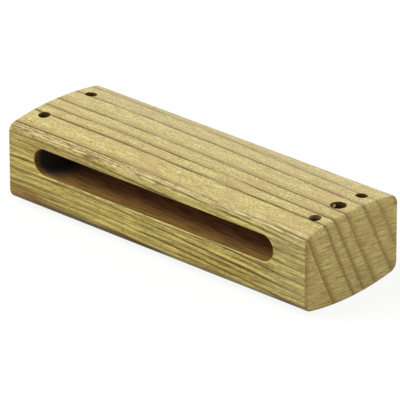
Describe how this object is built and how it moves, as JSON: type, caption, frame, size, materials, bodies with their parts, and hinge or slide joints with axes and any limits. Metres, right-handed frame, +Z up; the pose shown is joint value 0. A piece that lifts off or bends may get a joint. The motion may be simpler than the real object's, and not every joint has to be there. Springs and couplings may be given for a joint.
{
  "type": "woodblock",
  "caption": "Hardwood woodblock: an arched block hollowed by one deep round-ended slot in its front, with threaded inserts in its solid ends for a stand or rack.",
  "frame": {"origin": "middle of the block's length and depth, at the lowest line of its arched underside", "axes": "+X along the length towards the end with three holes, +Y from the slot face to the back, +Z up through the striking face"},
  "size_m": [0.198, 0.0674, 0.0463],
  "materials": {
    "ash_wood": "planed and sanded pale ash with a thin satin oil",
    "insert_brass": "turned and knurled, slightly dulled"
  },
  "bodies": {
    "root": {"block": "ash_wood", "stand_insert": "insert_brass", "corner_insert_front_left": "insert_brass", "corner_insert_back_left": "insert_brass", "corner_insert_front_right": "insert_brass", "corner_insert_back_right": "insert_brass"}
  },
  "joints": []
}
